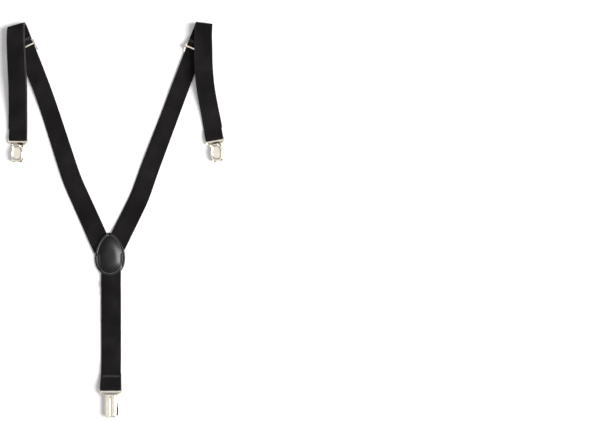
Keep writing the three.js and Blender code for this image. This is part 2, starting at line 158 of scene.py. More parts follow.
def new_piece(name, points, faces, material, sharp, uv=None):
    """A mesh object from points in millimetres, creased at edges over sharp degrees, with an
    optional (u, v) for each point."""
    mesh = bpy.data.meshes.new(name)
    mesh.from_pydata((np.asarray(points, float) * MM).tolist(), [], faces)
    if uv is not None:
        layer = mesh.uv_layers.new(name="UVMap")
        corner = np.zeros(len(mesh.loops), np.int32)
        mesh.loops.foreach_get("vertex_index", corner)
        layer.data.foreach_set("uv", uv[corner].astype(np.float32).ravel())
    mesh.materials.append(material)
    mesh.shade_smooth()
    mesh.set_sharp_from_angle(angle=math.radians(sharp))
    mesh.update()
    return linked(name, mesh)


def linked(name, data):
    made = bpy.data.objects.new(name, data)
    bpy.context.scene.collection.objects.link(made)
    return made


def joined(name, place, parts, material):
    """One piece from several closed shells, each (points, faces) in the frame of place."""
    points, faces, start = [], [], 0
    for p, f in parts:
        points.append(place(p))
        faces += [tuple(start + i for i in face) for face in f]
        start += len(p)
    return new_piece(name, np.vstack(points), faces, material, sharp=35)


def declare(piece, slot, body, *nodes):
    """Hide the nodes that a piece stands for and attach the piece to the body it rides on; slot, its
    finish, is not used.
    """
    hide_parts(*nodes)
    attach(piece, body)


def blend(piece, fixed, moving, start, end):
    """Bake the piece's transform into its mesh; it is not blended from one body to the next, and
    fixed and moving are not used.
    """
    tuple(np.array(start) * MM)
    tuple(np.array(end) * MM)
    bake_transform(piece)


# ---------------------------------------------------------------- sheet and rod shapes


def sheet_shell(grid, thickness, round_edge=0.4, wrap=False):
    """A closed shell of even thickness about a grid of points, (rows, columns, 3), with its rim
    rounded. wrap joins the last column to the first, and the first row is then a pole."""
    g = np.asarray(grid, float)
    if wrap:
        along = np.roll(g, -1, 1) - np.roll(g, 1, 1)
    else:
        along = np.gradient(g, axis=1)
    down = np.gradient(g, axis=0)
    normal = np.cross(along, down)
    if wrap:
        normal[0] = normal[1].mean(0)
    normal /= np.maximum(np.linalg.norm(normal, axis=2, keepdims=True), 1e-9)
    rows, cols = g.shape[:2]
    top, low = g + normal * thickness / 2, g - normal * thickness / 2
    points = [top.reshape(-1, 3), low.reshape(-1, 3)]
    half = rows * cols
    faces = []
    last = cols if wrap else cols - 1
    for i in range(rows - 1):
        for j in range(last):
            a, b = i * cols + j, i * cols + (j + 1) % cols
            c, d = b + cols, a + cols
            if wrap and i == 0:
                faces += [(0, c, d), (half, half + d, half + c)]
            else:
                faces += [(a, b, c, d), (half + d, half + c, half + b, half + a)]
    if wrap:
        ring = [(rows - 1, j) for j in range(cols)]
        inward = [(rows - 2, j) for j in range(cols)]
    else:
        ring = [(0, j) for j in range(cols - 1)] + [(i, cols - 1) for i in range(rows - 1)]
        ring += [(rows - 1, j) for j in range(cols - 1, 0, -1)]
        ring += [(i, 0) for i in range(rows - 1, 0, -1)]
        inward = [(min(max(i, 1), rows - 2), min(max(j, 1), cols - 2)) for i, j in ring]
    edge = np.array([g[r] for r in ring])
    out = edge - np.array([g[r] for r in inward])
    upward = np.array([normal[r] for r in ring])
    out -= (out * upward).sum(1, keepdims=True) * upward
    out /= np.maximum(np.linalg.norm(out, axis=1, keepdims=True), 1e-9)
    points.append(edge + out * thickness * round_edge)
    base, n = 2 * half, len(ring)
    index = [i * cols + j for i, j in ring]
    for k in range(n):
        m = (k + 1) % n
        a, b = index[k], index[m]
        faces += [(b, a, base + k, base + m), (base + m, base + k, half + a, half + b)]
    points = np.vstack(points)
    if wrap:
        used = np.r_[0, cols:half, half, half + cols : len(points)]
        where = -np.ones(len(points), int)
        where[used] = np.arange(len(used))
        points, faces = points[used], [tuple(int(where[i]) for i in f) for f in faces]
    return outward(points, faces)


def signed_volume(points, faces):
    """Six times the volume of a closed shell, negative where its faces point in."""
    fans = [(f[0], f[k], f[k + 1]) for f in faces for k in range(1, len(f) - 1)]
    a, b, c = (points - points.mean(0))[np.array(fans)].transpose(1, 0, 2)
    return float((a * np.cross(b, c)).sum())


def outward(points, faces):
    """The same shell with its faces pointing out."""
    points = np.asarray(points, float)
    if signed_volume(points, faces) < 0:
        faces = [tuple(reversed(f)) for f in faces]
    return points, faces


def stacked_rings(rings, top, low):
    """A closed shell through rings of points of one size, closed at its top and low centres."""
    turns, last = len(rings[0]), (len(rings) - 1) * len(rings[0])
    faces = []
    for i in range(0, last, turns):
        for j in range(turns):
            m = (j + 1) % turns
            faces.append((i + j, i + m, i + turns + m, i + turns + j))
    crown = last + turns
    for j in range(turns):
        m = (j + 1) % turns
        faces += [(last + j, last + m, crown), (m, j, crown + 1)]
    return outward(np.vstack([*rings, [top], [low]]), faces)


def cut_plate(outline, thickness, bevel):
    """A plate with the given (x, y) outline, centred on z 0, with its edges eased."""
    bm = bmesh.new()
    face = bm.faces.new([bm.verts.new((x, y, -thickness / 2)) for x, y in outline])
    grown = bmesh.ops.extrude_face_region(bm, geom=[face])
    lifted = [v for v in grown["geom"] if isinstance(v, bmesh.types.BMVert)]
    bmesh.ops.translate(bm, verts=lifted, vec=(0, 0, thickness))
    bmesh.ops.recalc_face_normals(bm, faces=bm.faces)
    edges = list({e for f in bm.faces if abs(f.normal.z) > 0.9 for e in f.edges})
    bmesh.ops.bevel(bm, geom=edges, offset=bevel, segments=2, profile=0.5, affect="EDGES")
    bm.verts.index_update()
    points = np.array([v.co for v in bm.verts])
    faces = [tuple(v.index for v in f.verts) for f in bm.faces]
    bm.free()
    return points, faces


def raised(plate, z):
    points, faces = plate
    return points + [0, 0, z], faces


def upright(plate, x):
    """A cut plate stood on edge across X, its outline read as (y, z)."""
    points, faces = plate
    return outward(np.stack([points[:, 2] + x, points[:, 0], points[:, 1]], axis=1), faces)


def rounded_box(x0, y0, x1, y1, radius, steps):
    return rounded_ring([(x0, y0), (x1, y0), (x1, y1), (x0, y1)], radius, steps)


def turned_rod(profile, centre):
    """A turned shape about local X, from (x, radius) pairs that start and end at radius 0."""
    steps = 32
    angle = np.linspace(0, 2 * np.pi, steps, endpoint=False)
    inner = profile[1:-1]
    points = [[profile[0][0], 0, 0]]
    for x, r in inner:
        points += [[x, r * math.cos(a), r * math.sin(a)] for a in angle]
    points.append([profile[-1][0], 0, 0])
    faces = [(0, 1 + (k + 1) % steps, 1 + k) for k in range(steps)]
    for i in range(len(inner) - 1):
        a, b = 1 + i * steps, 1 + (i + 1) * steps
        faces += [(a + k, a + (k + 1) % steps, b + (k + 1) % steps, b + k) for k in range(steps)]
    end, a = len(points) - 1, 1 + (len(inner) - 1) * steps
    faces += [(end, a + k, a + (k + 1) % steps) for k in range(steps)]
    points, faces = outward(points, faces)
    return points + centre, faces


# ---------------------------------------------------------------- shader maths


class Val:
    """A shader socket with arithmetic: each operator adds a Math node."""

    def __init__(self, graph, socket):
        self.graph, self.socket = graph, socket

    def _math(self, operation, *values):
        return self.graph.node(
            "ShaderNodeMath", {"operation": operation}, dict(enumerate(values))
        )

    def __add__(self, other):
        return self._math("ADD", self, other)

    def __sub__(self, other):
        return self._math("SUBTRACT", self, other)

    def __rsub__(self, other):
        return self._math("SUBTRACT", other, self)

    def __mul__(self, other):
        return self._math("MULTIPLY", self, other)

    __radd__, __rmul__ = __add__, __mul__

    def abs(self):
        return self._math("ABSOLUTE", self)

    def fract(self):
        return self._math("FRACT", self)

    def clamp(self, low=0.0, high=1.0):
        return self._math("MINIMUM", self._math("MAXIMUM", self, low), high)

    def above(self, low, high):
        """0 below low, 1 above high."""
        return self.graph.node(
            "ShaderNodeMapRange",
            {"interpolation_type": "SMOOTHSTEP"},
            {"Value": self, "From Min": low, "From Max": high},
        )


class Finish:
    """A material's node graph."""

    def __init__(self, name, **constants):
        self.material = bpy.data.materials.new(name)
        self.material.use_nodes = True
        self.tree = self.material.node_tree
        self.shader = self.tree.nodes["Principled BSDF"]
        for key, value in constants.items():
            self.shader.inputs[key.replace("_", " ")].default_value = value

    def node(self, kind, settings=None, inputs=None, output=0):
        made = self.tree.nodes.new(kind)
        for key, value in (settings or {}).items():
            if key == "stops":
                ramp = made.color_ramp.elements
                while len(ramp) < len(value):
                    ramp.new(0.5)
                for stop, (at, color) in zip(ramp, value):
                    stop.position, stop.color = at, (*color, 1)
            else:
                setattr(made, key, value)
        for key, value in (inputs or {}).items():
            if isinstance(value, Val):
                self.tree.links.new(value.socket, made.inputs[key])
            else:
                made.inputs[key].default_value = value
        return Val(self, made.outputs[output])

    def place(self):
        return self.node("ShaderNodeTexCoord", output="Object")

    def uv(self):
        return self.node("ShaderNodeUVMap", {"uv_map": "UVMap"})

    def split(self, vector):
        made = self.tree.nodes.new("ShaderNodeSeparateXYZ")
        self.tree.links.new(vector.socket, made.inputs[0])
        return [Val(self, s) for s in made.outputs]

    def scaled(self, vector, x, y, z):
        return self.node("ShaderNodeMapping", {}, {"Vector": vector, "Scale": (x, y, z)})

    def noise(self, vector, scale, detail=3.0, rough=0.5):
        return self.node(
            "ShaderNodeTexNoise",
            {},
            {"Vector": vector, "Scale": scale, "Detail": detail, "Roughness": rough},
        )

    def cells(self, vector, scale):
        return self.node(
            "ShaderNodeTexVoronoi",
            {"feature": "SMOOTH_F1"},
            {"Vector": vector, "Scale": scale},
            "Distance",
        )

    def ramp(self, factor, *stops):
        return self.node("ShaderNodeValToRGB", {"stops": stops}, {"Fac": factor})

    def blend_colours(self, factor, a, b):
        made = self.tree.nodes.new("ShaderNodeMix")
        made.data_type = "RGBA"
        for key, value in ((0, factor), (6, a), (7, b)):
            if isinstance(value, Val):
                self.tree.links.new(value.socket, made.inputs[key])
            else:
                made.inputs[key].default_value = value if key == 0 else (*value, 1)
        return Val(self, made.outputs[2])

    def bump(self, height, distance, strength=1.0):
        normal = self.node(
            "ShaderNodeBump",
            {},
            {"Height": height, "Distance": distance, "Strength": strength},
        )
        self.set("Normal", normal)

    def set(self, name, value):
        if isinstance(value, Val):
            self.tree.links.new(value.socket, self.shader.inputs[name])
        else:
            self.shader.inputs[name].default_value = value


def webbing_finish():
    """Black elastic webbing: twisted yarns along slanting ribs, darker between them, with a soft
    fuzz that greys the crests. UV is (distance along, distance across) in metres."""
    rib_spacing, yarn_spacing = 0.00268, 0.00085
    f = Finish("webbing", Sheen_Weight=0.04, Sheen_Roughness=0.4, Specular_IOR_Level=0.1)
    along, across, _ = f.split(f.uv())
    rib = ((along + across) * (1 / rib_spacing)).fract()
    crest = 1 - (rib * 2 - 1).abs()
    yarn = ((along - across) * (1 / yarn_spacing) + crest * 0.6).fract()
    twist = 1 - (yarn * 2 - 1).abs()
    place = f.place()
    fuzz = f.noise(place, 2600, 4, 0.6)
    cloud = f.noise(place, 30, 3, 0.5)
    tone = crest * 0.35 + twist * 0.35 + fuzz * 0.5 + (cloud - 0.5) * 0.9 + 0.175
    # Painted highlight: both edges of every strap are painted a lighter grey, standing in for the
    # light that the rounded edge cords catch.
    rim = f.node("ShaderNodeAttribute", {"attribute_name": "selvedge"}, output="Fac")
    cloth = f.ramp(
        tone.above(0.35, 1.3),
        (0.0, (0.0020, 0.0016, 0.0020)),
        (0.5, (0.0064, 0.0054, 0.0062)),
        (1.0, (0.0190, 0.0168, 0.0184)),
    )
    f.set("Base Color", f.blend_colours(rim * (0.6 + twist * 0.4), cloth, (0.085, 0.078, 0.08)))
    f.set("Roughness", (0.74 + fuzz * 0.22).clamp(0.6, 0.98))
    f.bump(twist * 0.6 + crest * 0.5 + fuzz * 0.5, 0.00014)
    return f.material


def leather_finish():
    """Polished black leather: pebbled grain, fine creases, and a waxed coat that is duller in
    the pores."""
    f = Finish("leather", Coat_Roughness=0.27, Coat_IOR=1.5, Specular_IOR_Level=0.08)
    place = f.place()
    drift = f.node("ShaderNodeTexNoise", {}, {"Vector": place, "Scale": 300.0}, "Color")
    warped = f.node(
        "ShaderNodeMix", {"data_type": "VECTOR"}, {0: 0.0012, 4: place, 5: drift}, output=1
    )
    pebble = f.cells(warped, 1150)
    pore = f.noise(place, 1900, 5, 0.62)
    cloud = f.noise(place, 70, 3)
    grain = (pebble * 1.4 + pore * 0.5).clamp()
    colour = f.ramp(
        grain * 0.6 + cloud * 0.5,
        (0.15, (0.0015, 0.0015, 0.0017)),
        (0.6, (0.0042, 0.0042, 0.0047)),
        (1.0, (0.0115, 0.0115, 0.0125)),
    )
    f.set("Base Color", colour)
    f.set("Roughness", (0.3 + grain * 0.16 + cloud * 0.12).clamp(0.2, 0.7))
    f.set("Coat Weight", (0.76 - grain * 0.22).clamp(0.3, 0.9))
    f.bump(1 - grain, 0.00006, 0.8)
    return f.material


def thread_finish():
    """Waxed polyester thread, two plies twisted."""
    f = Finish("thread", Sheen_Weight=0.15, Specular_IOR_Level=0.4)
    ply = f.noise(f.place(), 5200, 3)
    # Painted highlight: the thread's grey stands in for the light that black thread catches; the
    # thread itself is black.
    f.set("Base Color", f.ramp(ply, (0.2, (0.08, 0.08, 0.083)), (0.9, (0.27, 0.268, 0.275))))
    f.set("Roughness", (0.32 + ply * 0.25).clamp())
    f.bump(ply, 0.00005)
    return f.material


def metal_finish(name, pale, deep, roughness, seed):
    """Plated pressed metal: fine polishing lines, faint clouding and a few hairline scratches."""
    f = Finish(name, Metallic=1.0)
    place = f.place()
    lines = f.noise(f.scaled(place, 5200, 260, 900), 1.0, 2, 0.5)
    moved = f.node("ShaderNodeMapping", {}, {"Vector": place, "Location": (seed, 0, 0)})
    cloud = f.noise(moved, 130, 4, 0.55)
    scratch = f.noise(f.scaled(place, 300, 9000, 300), 1.0, 1, 0.3).above(0.68, 0.74)
    f.set("Base Color", f.blend_colours(cloud.above(0.3, 0.75), pale, deep))
    dull = roughness + lines * 0.07 + cloud * 0.08 + scratch * 0.12 - 0.07
    f.set("Roughness", dull.clamp(0.05, 0.7))
    f.bump(lines * 0.5 + cloud * 0.4 - scratch * 0.4, 0.000012, 0.5)
    return f.material


def plastic_finish():
    """Moulded black plastic with a fine spark-eroded grain."""
    f = Finish("plastic", Specular_IOR_Level=0.45)
    place = f.place()
    grain = f.noise(place, 4200, 3, 0.6)
    cloud = f.noise(place, 220, 2)
    f.set("Base Color", f.ramp(cloud, (0.3, (0.006, 0.006, 0.007)), (0.8, (0.014, 0.014, 0.016))))
    f.set("Roughness", (0.42 + grain * 0.22).clamp())
    f.bump(grain, 0.00003, 0.7)
    return f.material


def floor_finish():
    f = Finish("floor", Specular_IOR_Level=0.2)
    cloud = f.noise(f.place(), 3.0, 2)
    f.set("Base Color", f.ramp(cloud, (0.3, (0.93, 0.93, 0.935)), (0.7, (0.95, 0.95, 0.953))))
    f.set("Roughness", 0.7 + cloud * 0.1)
    return f.material


WEBBING = webbing_finish()
LEATHER = leather_finish()
THREAD = thread_finish()
NICKEL = metal_finish("nickel", (0.93, 0.88, 0.78), (0.84, 0.76, 0.62), 0.16, 0.0)
BRASS = metal_finish("brass", (0.93, 0.86, 0.74), (0.84, 0.74, 0.58), 0.2, 0.4)
STEEL = metal_finish("steel", (0.62, 0.58, 0.51), (0.50, 0.46, 0.40), 0.24, 0.9)
PLASTIC = plastic_finish()


# ---------------------------------------------------------------- webbing

RIB_PITCH = 1.9
RIB_HEIGHT = 0.13
ROW_STEP = 0.5
NUB_PITCH = 1.1
YARN_PITCH = 2.6
EDGE_COLUMNS = [0.12, 0.3, 0.55, 0.8, 1.1, 1.35, 1.55, 1.8, 2.1]


def section(width):
    """Positions across a webbing of that width, and half its thickness at each: a round corded
    edge, a groove inside it, and the ribbed body."""
    count = max(4, round((width - 2 * EDGE_COLUMNS[-1]) / 0.56))
    body = np.linspace(-width / 2 + EDGE_COLUMNS[-1], width / 2 - EDGE_COLUMNS[-1], count + 1)
    left = -width / 2 + np.array([0.0] + EDGE_COLUMNS[:-1])
    across = np.concatenate([left, body, -left[::-1]])
    inset = width / 2 - np.abs(across)
    cord = 0.8 * np.sqrt(np.clip(1 - ((inset - 0.74) / 0.75) ** 2, 0, 1))
    half = np.where(inset < 1.2, cord, mix(0.56, 0.7, smooth(1.5, 2.3, inset)))
    half = np.where((inset >= 1.2) & (inset < 1.5), np.maximum(half, 0.58), half)
    return across, half, inset


def webbing(name, surface, s0, s1, width):
    """A length of ribbed webbing. surface(s, w, height) gives points for a distance along, a
    distance across and a height from 0 to WEB; width is a number or a function of s."""
    rows = max(6, math.ceil((s1 - s0) / ROW_STEP))
    s = np.linspace(s0, s1, rows + 1)
    full = width(s0) if callable(width) else width
    across, half, inset = section(float(full))
    stretch = np.array([(width(v) if callable(width) else width) / full for v in s])
    ss, ww = np.meshgrid(s, across, indexing="ij")
    body = smooth(1.5, 2.4, inset)[None, :]
    fade = smooth(0, 0.8, ss - s0) * smooth(0, 0.8, s1 - ss)
    edge_nub = 0.06 * np.sin(2 * np.pi * ss / NUB_PITCH) * (inset < 1.3)[None, :]

    def ribs(sign):
        phase = 2 * np.pi * (ss + sign * ww) / (RIB_PITCH * math.sqrt(2))
        crossing = 2 * np.pi * (ss - sign * ww) / YARN_PITCH
        return RIB_HEIGHT * (np.cos(phase) + 0.22 * np.cos(crossing)) * body * fade

    wide = ww * stretch[:, None]
    top = surface(ss, wide, WEB / 2 + half[None, :] + ribs(1) + edge_nub)
    low = surface(ss, wide, WEB / 2 - half[None, :] - ribs(-1) - edge_nub)
    n = len(across)
    ring = np.concatenate([top, low[:, -2:0:-1]], axis=1)
    size = ring.shape[1]
    uv_ring = np.concatenate([ww, ww[:, -2:0:-1]], axis=1)
    uv = np.stack([np.repeat(s, size), uv_ring.ravel()], axis=1) * MM
    i, j = np.meshgrid(np.arange(rows), np.arange(size), indexing="ij")
    a, b = i * size + j, i * size + (j + 1) % size
    faces = np.stack([a, a + size, b + size, b], axis=-1).reshape(-1, 4).tolist()
    end = rows * size
    for j in range(n - 1):
        k, m = (size - j) % size, (size - j - 1) % size
        if j == 0:
            cap = (j, j + 1, m)
        elif j == n - 2:
            cap = (j, j + 1, k)
        else:
            cap = (j, j + 1, m, k)
        faces += [list(cap), [end + q for q in reversed(cap)]]
    points, faces = outward(ring.reshape(-1, 3), faces)
    piece = new_piece(name, points, faces, WEBBING, sharp=50, uv=uv)
    # Painted highlight: a mask that is 1 at each edge of the strap, so the finish can paint the
    # edges lighter as if lit.
    rim = 1 - smooth(0.05, 0.55, inset)
    around = np.concatenate([rim, rim[-2:0:-1]])
    selvedge = piece.data.attributes.new("selvedge", "FLOAT", "POINT")
    selvedge.data.foreach_set("value", np.tile(around, rows + 1).astype(np.float32))
    return piece


def walk(heading, bends, distance):
    """Points and headings on a flat route that leaves the origin and has some bends."""
    distance = np.asarray(distance, float)
    aim = heading + np.zeros_like(distance)
    x, y, done = np.zeros_like(distance), np.zeros_like(distance), 0
    for at, length, angle in bends:
        straight = np.clip(distance - done, 0, at - done)
        inside = np.clip(distance - at, 0, length)
        turned = math.radians(angle) * inside / length
        chord = inside * np.sinc(turned / 2 / math.pi)
        x += straight * np.cos(aim) + chord * np.cos(aim + turned / 2)
        y += straight * np.sin(aim) + chord * np.sin(aim + turned / 2)
        aim, done = aim + turned, at + length
    rest = np.maximum(distance - done, 0)
    return x + rest * np.cos(aim), y + rest * np.sin(aim), aim


def strap_width(s):
    """Width of a shoulder strap: it curls narrower over the fold and is widest at the patch."""
    wide = mix(FRONT_WIDTH, PATCH_END_WIDTH, smooth(60, 300, -s))
    return float(wide - CURL * (1 - smooth(10, 60, abs(s))))


class Layer:
    """One layer of a shoulder strap, wrapped half round the fold and laid down to its clip."""

    def __init__(self, side, inside):
        lift = JOINTS["front_lift_" + side]
        slide = JOINTS["adjuster_slide_" + side]
        self.fold = mm(lift["pos_m"])
        self.line = -np.array(lift["axis"][:2])
        self.out = np.array([-self.line[1], self.line[0]])
        self.up = math.atan2(-slide["axis"][1], -slide["axis"][0])
        self.radius = FOLD_RADIUS + inside
        self.arc = math.pi * (self.radius + WEB / 2)
        lay = BENDS[side]
        self.back_bends, self.tilt, self.slide = lay["back"], lay["tilt"], lay["slide"]
        self.front_bends = [(at + self.arc, *rest) for at, *rest in lay["front"]]
        self.sag = 0.0

    def point(self, s, w, height, lift=0.0):
        s, w, height = np.broadcast_arrays(np.asarray(s, float), w, height)
        back = walk(self.up + math.pi, self.back_bends, np.maximum(-s, 0))
        front = walk(self.up, self.front_bends, np.maximum(s, 0))
        behind = s < 0
        x, y = (np.where(behind, b, f) for b, f in zip(back[:2], front[:2]))
        heading = np.where(behind, back[2] + math.pi, front[2])
        off = w + self.slide * smooth(0, 30, s)
        x, y = x + np.sin(heading) * off, y - np.cos(heading) * off
        u = x * self.out[0] + y * self.out[1]
        v = x * self.line[0] + y * self.line[1]
        rho = self.radius + height
        turn = np.clip(u / self.arc, 0, 1) * math.pi
        z = self.fold[2] - rho * np.cos(turn)
        reach = np.where(u < 0, u, np.where(u > self.arc, self.arc - u, rho * np.sin(turn)))
        z = np.where(u < 0, z + lift - self.sag * self.rest(s), z)
        drop = (self.fold[2] + FOLD_RADIUS) * smooth(45, 125, u - self.arc)
        z = np.where(u > self.arc, z - drop, z)
        near = 1 - smooth(0, 14, np.abs(u - self.arc / 2) - self.arc / 2)
        reach = reach + self.tilt * v * near
        px = self.fold[0] + reach * self.out[0] + v * self.line[0]
        py = self.fold[1] + reach * self.out[1] + v * self.line[1]
        return np.stack([px, py, z + self.ripple(s, w)], axis=-1)

    def rest(self, s):
        """1 where the back strap has come down onto the table."""
        return smooth(85, 120, -s) * (1 - smooth(262, 290, -s))

    def ripple(self, s, w):
        """The gentle waves of webbing that has been rolled up in a box."""
        wave = (1 + np.sin(s / 17.0 + w * 0.05)) * (0.6 + 0.4 * np.sin(s / 41.0))
        return 0.28 * self.rest(s) * wave


def sheet_of(s0, s1, width):
    """Work out the length of a piece of webbing and do nothing with it; width is not used."""
    long = abs(s1 - s0)
    if long >= SHORTEST_SHEET:
        long * MM


class Path:
    """A side view of a loop of webbing: straight legs and an arc, as (y, z) with a normal."""

    def __init__(self, stretches):
        self.parts, self.length = [], 0.0
        for kind, *values in stretches:
            if kind == "line":
                a, b = np.array(values[0], float), np.array(values[1], float)
                long = float(np.linalg.norm(b - a))
            else:
                _, radius, begin, end = values
                long = radius * abs(end - begin)
            self.parts.append((kind, values, self.length, long))
            self.length += long

    def at(self, s):
        y, z, ny, nz = (np.zeros_like(s, dtype=float) for _ in range(4))
        for kind, values, start, long in self.parts:
            here = (s >= start - 1e-9) & (s <= start + long + 1e-9)
            t = np.clip((s - start) / long, 0, 1)
            if kind == "line":
                a, b = np.array(values[0], float), np.array(values[1], float)
                d = (b - a) / long
                py, pz = a[0] + (b[0] - a[0]) * t, a[1] + (b[1] - a[1]) * t
                qy, qz = np.full_like(t, -d[1]), np.full_like(t, d[0])
            else:
                (cy, cz), radius, begin, end = values
                angle = begin + (end - begin) * t
                sign = 1 if end > begin else -1
                py, pz = cy + radius * np.cos(angle), cz + radius * np.sin(angle)
                qy, qz = -np.cos(angle) * sign, -np.sin(angle) * sign
            y, z = np.where(here, py, y), np.where(here, pz, z)
            ny, nz = np.where(here, qy, ny), np.where(here, qz, nz)
        return y, z, ny, nz

    def surface(self, place):
        def point(s, w, height):
            y, z, ny, nz = self.at(s)
            off = height - WEB / 2
            return place(np.stack([w, y + ny * off, z + nz * off], axis=-1))

        return point


def loop_path(turn, y, z, inner, low, high):
    """Webbing that runs in along a lower leg, round a bar at (y, z), and back along an upper one."""
    middle = inner + WEB / 2
    start, end = (-math.pi / 2, math.pi / 2) if turn > 0 else (-math.pi / 2, -1.5 * math.pi)
    return Path(
        [
            ("line", (low[0], low[1] + WEB / 2), (y - 2.3 * turn, z - middle)),
            ("line", (y - 2.3 * turn, z - middle), (y, z - middle)),
            ("arc", (y, z), middle, start, end),
            ("line", (y, z + middle), (y - 2.3 * turn, z + middle)),
            ("line", (y - 2.3 * turn, z + middle), (high[0], high[1] + WEB / 2)),
        ]
    )


# ---------------------------------------------------------------- stitches


def stitch_tree():
    """Geometry nodes: a thread segment at even steps along a curve, lying along it."""
    tree = bpy.data.node_groups.new("stitches_on_a_line", "GeometryNodeTree")
    face = tree.interface
    face.new_socket("Geometry", in_out="INPUT", socket_type="NodeSocketGeometry")
    for name, value in (("Pitch", 0.0026), ("Length", 0.0019), ("Radius", 0.00032)):
        socket = face.new_socket(name, in_out="INPUT", socket_type="NodeSocketFloat")
        socket.default_value = value
    face.new_socket("Thread", in_out="INPUT", socket_type="NodeSocketMaterial")
    face.new_socket("Geometry", in_out="OUTPUT", socket_type="NodeSocketGeometry")
    make, link = tree.nodes.new, tree.links.new
    given, result = make("NodeGroupInput"), make("NodeGroupOutput")
    steps = make("GeometryNodeResampleCurve")
    steps.mode = "LENGTH"
    link(given.outputs["Geometry"], steps.inputs["Curve"])
    link(given.outputs["Pitch"], steps.inputs["Length"])
    bead = make("GeometryNodeMeshUVSphere")
    bead.inputs["Segments"].default_value = 10
    bead.inputs["Rings"].default_value = 8
    bead.inputs["Radius"].default_value = 1.0
    size = make("ShaderNodeCombineXYZ")
    half = make("ShaderNodeMath")
    half.operation = "MULTIPLY"
    half.inputs[1].default_value = 0.5
    link(given.outputs["Length"], half.inputs[0])
    link(half.outputs[0], size.inputs["X"])
    link(given.outputs["Radius"], size.inputs["Y"])
    link(given.outputs["Radius"], size.inputs["Z"])
    tangent = make("GeometryNodeInputTangent")
    turn = make("FunctionNodeAlignRotationToVector")
    turn.axis = "X"
    link(tangent.outputs[0], turn.inputs["Vector"])
    copies = make("GeometryNodeInstanceOnPoints")
    link(steps.outputs[0], copies.inputs["Points"])
    link(bead.outputs["Mesh"], copies.inputs["Instance"])
    link(turn.outputs[0], copies.inputs["Rotation"])
    link(size.outputs[0], copies.inputs["Scale"])
    real = make("GeometryNodeRealizeInstances")
    link(copies.outputs[0], real.inputs[0])
    painted = make("GeometryNodeSetMaterial")
    link(real.outputs[0], painted.inputs["Geometry"])
    link(given.outputs["Thread"], painted.inputs["Material"])
    smooth_it = make("GeometryNodeSetShadeSmooth")
    link(painted.outputs[0], smooth_it.inputs["Geometry"])
    link(smooth_it.outputs[0], result.inputs["Geometry"])
    return tree


STITCHES = stitch_tree()


def stitches(name, place, lines, pitch, length, radius, body, cyclic=False):
    """One piece of thread segments along the given lines, riding on a body."""
    curve = bpy.data.curves.new(name + "_line", "CURVE")
    curve.dimensions = "3D"
    for line in lines:
        spline = curve.splines.new("POLY")
        spline.points.add(len(line) - 1)
        at = np.hstack([place(line) * MM, np.ones((len(line), 1))])
        spline.points.foreach_set("co", at.ravel())
        spline.use_cyclic_u = cyclic
    path = linked(name + "_line", curve)
    modifier = path.modifiers.new("stitches", "NODES")
    modifier.node_group = STITCHES
    sockets = {
        item.name: item.identifier
        for item in STITCHES.interface.items_tree
        if item.in_out == "INPUT"
    }
    for key, value in (("Pitch", pitch), ("Length", length), ("Radius", radius)):
        modifier[sockets[key]] = value * MM
    modifier[sockets["Thread"]] = THREAD
    bpy.context.view_layer.update()
    ready = path.evaluated_get(bpy.context.evaluated_depsgraph_get())
    mesh = bpy.data.meshes.new_from_object(ready)
    mesh.name = name
    bpy.data.objects.remove(path)
    bpy.data.curves.remove(curve)
    piece = linked(name, mesh)
    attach(piece, body)


# ---------------------------------------------------------------- clips


def clip_place(side):
    """The clip's own frame: the bar along X, the tip along +Y, the lever on +Z."""
    swing = JOINTS["clip_swing_" + side]
    lever = JOINTS["clip_lever_hinge_" + side]
    x = -np.array(lever["axis"], float)
    bar, pin = mm(swing["pos_m"]), mm(lever["pos_m"])
    to_tip = pin - bar
    to_tip[2] = 0
    return Place(bar, x, to_tip)


